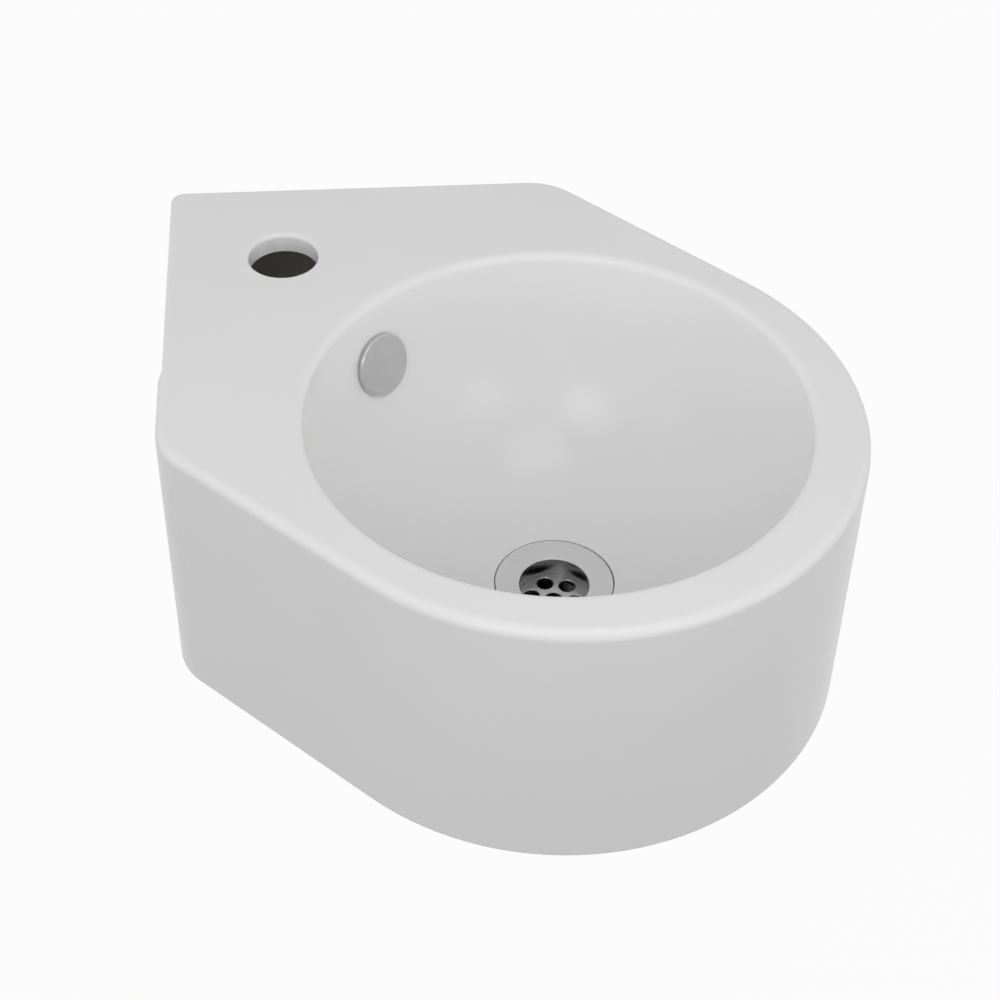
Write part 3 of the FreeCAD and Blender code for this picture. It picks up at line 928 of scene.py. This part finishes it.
@dataclass
class WasteFitting(SubAssembly):
    """Flange, pot, grid and tail, with the seals and the nut that clamp them."""

    flange_bead: float = 0.9 * MM
    flange_dish: float = 1.4 * MM
    flange_round: float = 0.5 * MM
    mouth_round: float = 0.6 * MM
    grid_fit: float = 0.05 * MM
    thread_radius: float = 20.955 * MM
    thread_pitch: float = 2.309 * MM
    thread_depth: float = 1.479 * MM
    thread_in_boss: float = 2.0 * MM
    thread_run_out: float = 1.2 * MM
    end_chamfer: float = 1.2 * MM
    tail_wall: float = 3.7 * MM
    neck_relief: float = 0.855 * MM
    free_tail: float = 20.0 * MM
    undercut_width: float = 1.5 * MM
    undercut_depth: float = 1.2 * MM
    slot_count: int = 4
    slot_width: float = 12.0 * MM
    slot_height: float = 9.0 * MM
    slot_below_grid: float = 2.0 * MM
    slot_turn: float = 45.0
    sides: int = 176
    rows_per_turn: int = 10
    sharp_angle: float = 38.0
    bore_margin: float = 0.3 * MM
    # Painted shade: a darker tone inside the pot and a nearly black tone down the tail's bore.
    pot_shade_tone: float = 0.30
    pot_roughness_change: float = -0.08
    bore_shade_tone: float = 0.012
    bore_roughness_change: float = 0.3

    def axis(self) -> tuple[float, float]:
        """Where the waste's upright axis stands, from the box of its body."""
        low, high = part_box("waste_body")
        return (low.x + high.x) / 2, (low.y + high.y) / 2

    def bore_radius(self) -> float:
        """Radius of the tail's bore."""
        return self.thread_radius - self.tail_wall

    def row_height(self) -> float:
        """Height of the rows of faces that the thread is cut into."""
        return self.thread_pitch / self.rows_per_turn

    def neck_level(self) -> float:
        """Level where the thread ends and the neck begins, a little way inside the waste boss."""
        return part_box("lower_gasket")[1].z + self.thread_in_boss

    def inner_section(self) -> Outline:
        """Section of the flange's face and of the inside, from the rim to the foot of the bore.

        Returns:
            The points, as radius and level.
        """
        low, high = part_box("waste_body")
        grid_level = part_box("waste_grid")[0].z
        flange_radius = half_width("waste_body")
        pot_radius = half_width("waste_grid") + self.grid_fit
        edge = self.flange_round
        mouth = self.mouth_round
        mouth_level = high.z - self.flange_dish
        points = quarter((flange_radius - edge, high.z - edge), edge, 0.0)
        points += [(flange_radius - self.flange_bead, high.z)]
        points += quarter((pot_radius + mouth, mouth_level - mouth), mouth, QUARTER_TURN)
        points += [(pot_radius, grid_level), (self.bore_radius(), grid_level)]
        points += upright(self.bore_radius(), grid_level - self.row_height(), low.z, 2 * self.end_chamfer)
        return points

    def outer_section(self) -> Outline:
        """Section of the outside, from the foot of the tail up the thread to under the flange.

        Returns:
            The points, as radius and level.
        """
        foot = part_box("waste_body")[0].z
        crest = self.thread_radius
        neck_level = self.neck_level()
        under_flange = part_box("flange_seal")[1].z
        undercut_low = foot + self.free_tail
        undercut_high = undercut_low + self.undercut_width
        row = self.row_height()
        edge = self.flange_round
        points = [(crest - self.end_chamfer, foot)]
        points += upright(crest, foot + self.end_chamfer, undercut_low, row)
        points += upright(crest - self.undercut_depth, undercut_low, undercut_high, row)
        points += upright(crest, undercut_high, neck_level, row)
        points += upright(crest - self.neck_relief, neck_level, under_flange, 2 * self.end_chamfer)
        points += quarter((half_width("waste_body") - edge, under_flange + edge), edge, -QUARTER_TURN)
        return points

    def cut_slots(self, piece: bpy.types.Object) -> None:
        """Cut the overflow's windows through the neck.

        Args:
            piece: The turned body.
        """
        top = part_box("waste_grid")[0].z - self.slot_below_grid
        middle = Matrix.Translation((*self.axis(), top - self.slot_height / 2))
        out = Matrix.Translation((self.thread_radius, 0.0, 0.0))
        size = Matrix.Diagonal((self.thread_radius, self.slot_width, self.slot_height, 1.0))
        shape = bmesh.new()
        for number in range(self.slot_count):
            angle = math.radians(self.slot_turn) + math.tau * number / self.slot_count
            turn = Matrix.Rotation(angle, 4, "Z")
            bmesh.ops.create_cube(shape, size=1.0, matrix=middle @ turn @ out @ size)
        mesh = bpy.data.meshes.new("slot_cutter")
        shape.to_mesh(mesh)
        shape.free()
        cutter = placed("slot_cutter", mesh)
        boolean = piece.modifiers.new("slots", "BOOLEAN")
        boolean.object = cutter
        boolean.solver = "EXACT"
        settle(piece)
        bpy.data.objects.remove(cutter)

    def make_body(self, material: bpy.types.Material) -> None:
        """Turn the waste's body, cut its thread and its slots, and let it stand for the node.

        Args:
            material: The plated brass.
        """
        outline = self.inner_section() + self.outer_section()
        mesh = turned_mesh("waste_body_turned", outline, self.axis(), self.sides)
        piece = placed("waste_body_turned", mesh)
        axis_x, axis_y = self.axis()
        grown(piece, thread_tree(), {
            "Axis X": axis_x,
            "Axis Y": axis_y,
            "Radius": self.thread_radius,
            "Pitch": self.thread_pitch,
            "Depth": self.thread_depth,
            "Low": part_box("waste_body")[0].z - self.thread_run_out,
            "High": self.neck_level(),
            "Run-out": self.thread_run_out,
            "Material": material,
        })
        self.cut_slots(piece)
        piece.data.shade_smooth()
        piece.data.set_sharp_from_angle(angle=math.radians(self.sharp_angle))
        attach(piece, "basin")
        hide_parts("waste_body")
        LOG.info("made %s with %d faces", piece.name, len(piece.data.polygons))

    def chrome(self) -> TurnedMetal:
        """Satin chrome with painted shade: darker inside the pot, and nearly black down the tail's bore,
        which is also dull.

        Returns:
            The finish of the waste's body.
        """
        low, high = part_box("waste_body")
        grid_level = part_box("waste_grid")[0].z
        pot = PaintedShadeBore(
            radius=half_width("waste_grid") + self.bore_margin, low=grid_level,
            high=high.z - self.flange_dish - self.mouth_round,
            tone=self.pot_shade_tone, roughness_change=self.pot_roughness_change,
        )
        bore = PaintedShadeBore(
            radius=self.bore_radius() + self.bore_margin, low=low.z, high=grid_level,
            tone=self.bore_shade_tone, roughness_change=self.bore_roughness_change,
        )
        return TurnedMetal(
            "satin_chrome", dark=grey(0.62), light=grey(0.69), roughness=(0.26, 0.32),
            axis=self.axis(), bores=(pot, bore),
        )

    def make(self) -> None:
        """Make the body, and dress the grid, the seals, the washer and the nut."""
        self.make_body(self.chrome().build(self.groups))
        self.dress({
            "waste_grid": SatinMetal(
                "pressed_steel", dark=grey(0.50), light=grey(0.56), roughness=(0.26, 0.34)),
            "flange_seal": MouldedPolymer(
                "grey_rubber", dark=(0.52, 0.52, 0.50), light=(0.60, 0.60, 0.58), roughness=(0.55, 0.70)),
            "lower_gasket": MouldedPolymer(
                "black_rubber", dark=grey(0.02), light=grey(0.04), roughness=(0.50, 0.68)),
            "slip_washer": MouldedPolymer(
                "natural_plastic", dark=(0.74, 0.72, 0.66), light=(0.82, 0.80, 0.75), roughness=(0.32, 0.45)),
            "backnut": TurnedMetal(
                "turned_brass", dark=(0.58, 0.42, 0.18), light=(0.70, 0.53, 0.27), roughness=(0.22, 0.34),
                axis=self.axis()),
        })


@dataclass
class OverflowFitting(SubAssembly):
    """Sleeve, clip and cover of the overflow."""

    def make(self) -> None:
        """Dress the three pieces."""
        self.dress({
            "overflow_sleeve": MouldedPolymer(
                "white_plastic", dark=(0.76, 0.76, 0.75), light=(0.82, 0.82, 0.81), roughness=(0.28, 0.40)),
            "overflow_cover": SatinMetal(
                "polished_chrome", dark=grey(0.64), light=grey(0.68), roughness=(0.16, 0.22)),
            "overflow_clip": SatinMetal(
                "spring_steel", dark=grey(0.50), light=grey(0.62), roughness=(0.20, 0.32)),
        })


# -------------------------------------------------------------------
# Studio
# -------------------------------------------------------------------


def towards(bearing: float, elevation: float) -> Vector:
    """Direction from the basin to something around it.

    Args:
        bearing: The turn in degrees from -Y, in front of the basin, towards +X on its right.
        elevation: The angle in degrees above the horizon.

    Returns:
        The unit vector.
    """
    turn = math.radians(bearing)
    climb = math.radians(elevation)
    return Vector((math.sin(turn) * math.cos(climb), -math.cos(turn) * math.cos(climb), math.sin(climb)))


@dataclass(frozen=True)
class Viewpoint:
    """Camera at the photograph's angle."""

    target: tuple[float, float, float] = (0.17146, -0.17662, -0.07925)
    azimuth: float = -5.53
    elevation: float = 43.17
    roll: float = 1.35
    distance: float = 1.10389
    focal_pixels: float = 2107.78
    image_side: float = 1000.0
    sensor_width: float = 36.0
    nearest: float = 10.0 * MM

    def make(self) -> None:
        """Create the camera and make it the scene's own."""
        azimuth = math.radians(self.azimuth)
        roll = math.radians(self.roll)
        back = towards(self.azimuth, self.elevation)
        level = Vector((math.cos(azimuth), math.sin(azimuth), 0.0))
        raised = back.cross(level)
        right = level * math.cos(roll) + raised * math.sin(roll)
        up = raised * math.cos(roll) - level * math.sin(roll)
        data = bpy.data.cameras.new("photo_camera")
        data.sensor_width = self.sensor_width
        data.lens = self.focal_pixels * self.sensor_width / self.image_side
        data.clip_start = self.nearest
        camera = placed("photo_camera", data)
        turn = Matrix((right, up, back)).transposed()
        camera.matrix_world = Matrix.Translation(Vector(self.target) + back * self.distance) @ turn.to_4x4()
        bpy.context.scene.camera = camera


class Mirrored(Enum):
    """Whether glazed and polished surfaces show a lamp."""

    SHOWN = True
    HIDDEN = False


@dataclass(frozen=True)
class SoftBox:
    """A rectangular lamp that faces the middle of the basin."""

    name: str
    bearing: float
    elevation: float
    distance: float
    width: float
    height: float
    radiance: float
    mirrored: Mirrored = Mirrored.SHOWN
    middle: tuple[float, float, float] = (0.19, -0.19, -0.06)

    def make(self) -> None:
        """Create the lamp."""
        data = bpy.data.lights.new(self.name, "AREA")
        data.shape = "RECTANGLE"
        data.size = self.width
        data.size_y = self.height
        data.energy = math.pi * self.radiance * self.width * self.height
        lamp = placed(self.name, data)
        outward = towards(self.bearing, self.elevation)
        place = Vector(self.middle) + outward * self.distance
        lamp.matrix_world = Matrix.Translation(place) @ outward.to_track_quat("Z", "Y").to_matrix().to_4x4()
        lamp.visible_glossy = self.mirrored.value


@dataclass
class Studio:
    """Floor, surroundings and lamps."""

    floor_level: float = -0.85
    floor_half: float = 6.0
    floor_tone: float = 0.12
    floor_bounce: float = 0.045
    floor_glow: float = 0.88
    floor_roughness: float = 0.9
    mirrored_floor: float = 0.72
    zenith: float = 0.25
    horizon: float = 1.17
    sky_glow: float = 1.0
    mirrored_sky: float = 0.72
    lamps: tuple[SoftBox, ...] = (
        SoftBox("left_patch_box", bearing=35.0, elevation=29.0, distance=1.6,
                width=0.55, height=0.50, radiance=0.95),
        SoftBox("right_patch_box", bearing=-23.0, elevation=40.0, distance=1.6,
                width=0.55, height=0.55, radiance=1.6),
        SoftBox("top_patch_box", bearing=18.0, elevation=68.0, distance=1.6,
                width=0.65, height=0.55, radiance=1.15),
        SoftBox("front_fill", bearing=5.0, elevation=55.0, distance=0.9,
                width=0.7, height=0.7, radiance=0.80, mirrored=Mirrored.HIDDEN),
        SoftBox("left_fill", bearing=-75.0, elevation=20.0, distance=1.3,
                width=0.7, height=0.7, radiance=0.70, mirrored=Mirrored.HIDDEN),
        SoftBox("right_fill", bearing=70.0, elevation=20.0, distance=1.3,
                width=0.7, height=0.7, radiance=0.20, mirrored=Mirrored.HIDDEN),
        SoftBox("back_fill", bearing=170.0, elevation=72.0, distance=0.9,
                width=0.6, height=0.6, radiance=0.12, mirrored=Mirrored.HIDDEN),
    )

    def as_seen(self, wire: Wiring, direct: float, mirrored: float, lighting: Socket | float) -> Socket:
        """Pick a strength by what a ray is for.

        Args:
            wire: Adds the nodes.
            direct: The strength that the eye sees.
            mirrored: The strength in reflections and through glass.
            lighting: The strength, or its socket, that lights the object.

        Returns:
            The strength's socket.
        """
        path = wire.node("ShaderNodeLightPath")
        eye = path.outputs["Is Camera Ray"]
        mirror = wire.math("MAXIMUM", path.outputs["Is Glossy Ray"], path.outputs["Is Transmission Ray"])
        light = wire.math("SUBTRACT", 1.0, wire.math("MAXIMUM", eye, mirror))
        total = wire.math("MULTIPLY_ADD", eye, direct, wire.math("MULTIPLY", light, lighting))
        return wire.math("MULTIPLY_ADD", mirror, mirrored, total)

    def make_floor(self) -> None:
        """Create the pale floor, as far below the basin as under a hung one."""
        half = self.floor_half
        corners = [(-half, -half), (half, -half), (half, half), (-half, half)]
        mesh = bpy.data.meshes.new("floor")
        mesh.from_pydata([(x, y, self.floor_level) for x, y in corners], [], [(0, 1, 2, 3)])
        material = bpy.data.materials.new("pale_floor")
        material.use_nodes = True
        wire = Wiring(material.node_tree)
        shader = material.node_tree.nodes["Principled BSDF"]
        shader.inputs["Roughness"].default_value = self.floor_roughness
        shader.inputs["Emission Color"].default_value = WHITE
        tone = self.as_seen(wire, self.floor_tone, self.floor_tone, self.floor_bounce)
        wire.join(tone, shader.inputs["Base Color"])
        glow = self.as_seen(wire, self.floor_glow, self.mirrored_floor, 0.0)
        wire.join(glow, shader.inputs["Emission Strength"])
        mesh.materials.append(material)
        floor = placed("floor", mesh)

    def make_surroundings(self) -> None:
        """White to the eye, light grey in mirrors, and a soft sky as a light, brighter at the horizon."""
        world = bpy.data.worlds.new("surroundings")
        world.use_nodes = True
        bpy.context.scene.world = world
        wire = Wiring(world.node_tree)
        background = world.node_tree.nodes["Background"]
        background.inputs["Color"].default_value = WHITE
        height = wire.split(wire.node("ShaderNodeTexCoord").outputs["Generated"])["Z"]
        near_horizon = wire.math("SUBTRACT", 1.0, wire.math("ABSOLUTE", height))
        low = wire.math("MULTIPLY", near_horizon, self.horizon)
        sky = wire.math("MULTIPLY_ADD", wire.math("MAXIMUM", height, 0.0), self.zenith, low)
        strength = self.as_seen(wire, self.sky_glow, self.mirrored_sky, sky)
        wire.join(strength, background.inputs["Strength"])

    def make(self) -> None:
        """Build the studio."""
        self.make_floor()
        self.make_surroundings()
        for lamp in self.lamps:
            lamp.make()


def main() -> None:
    """Build the classes in order."""
    logging.basicConfig(level=logging.INFO, format="%(name)s: %(message)s")
    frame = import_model()
    bpy.context.scene.view_settings.view_transform = "Standard"
    groups = SharedGroups()
    for part in (Casting, WasteFitting, OverflowFitting):
        part(frame["nodes"], groups).make()
    Viewpoint().make()
    Studio().make()


if __name__ == "__main__":
    main()
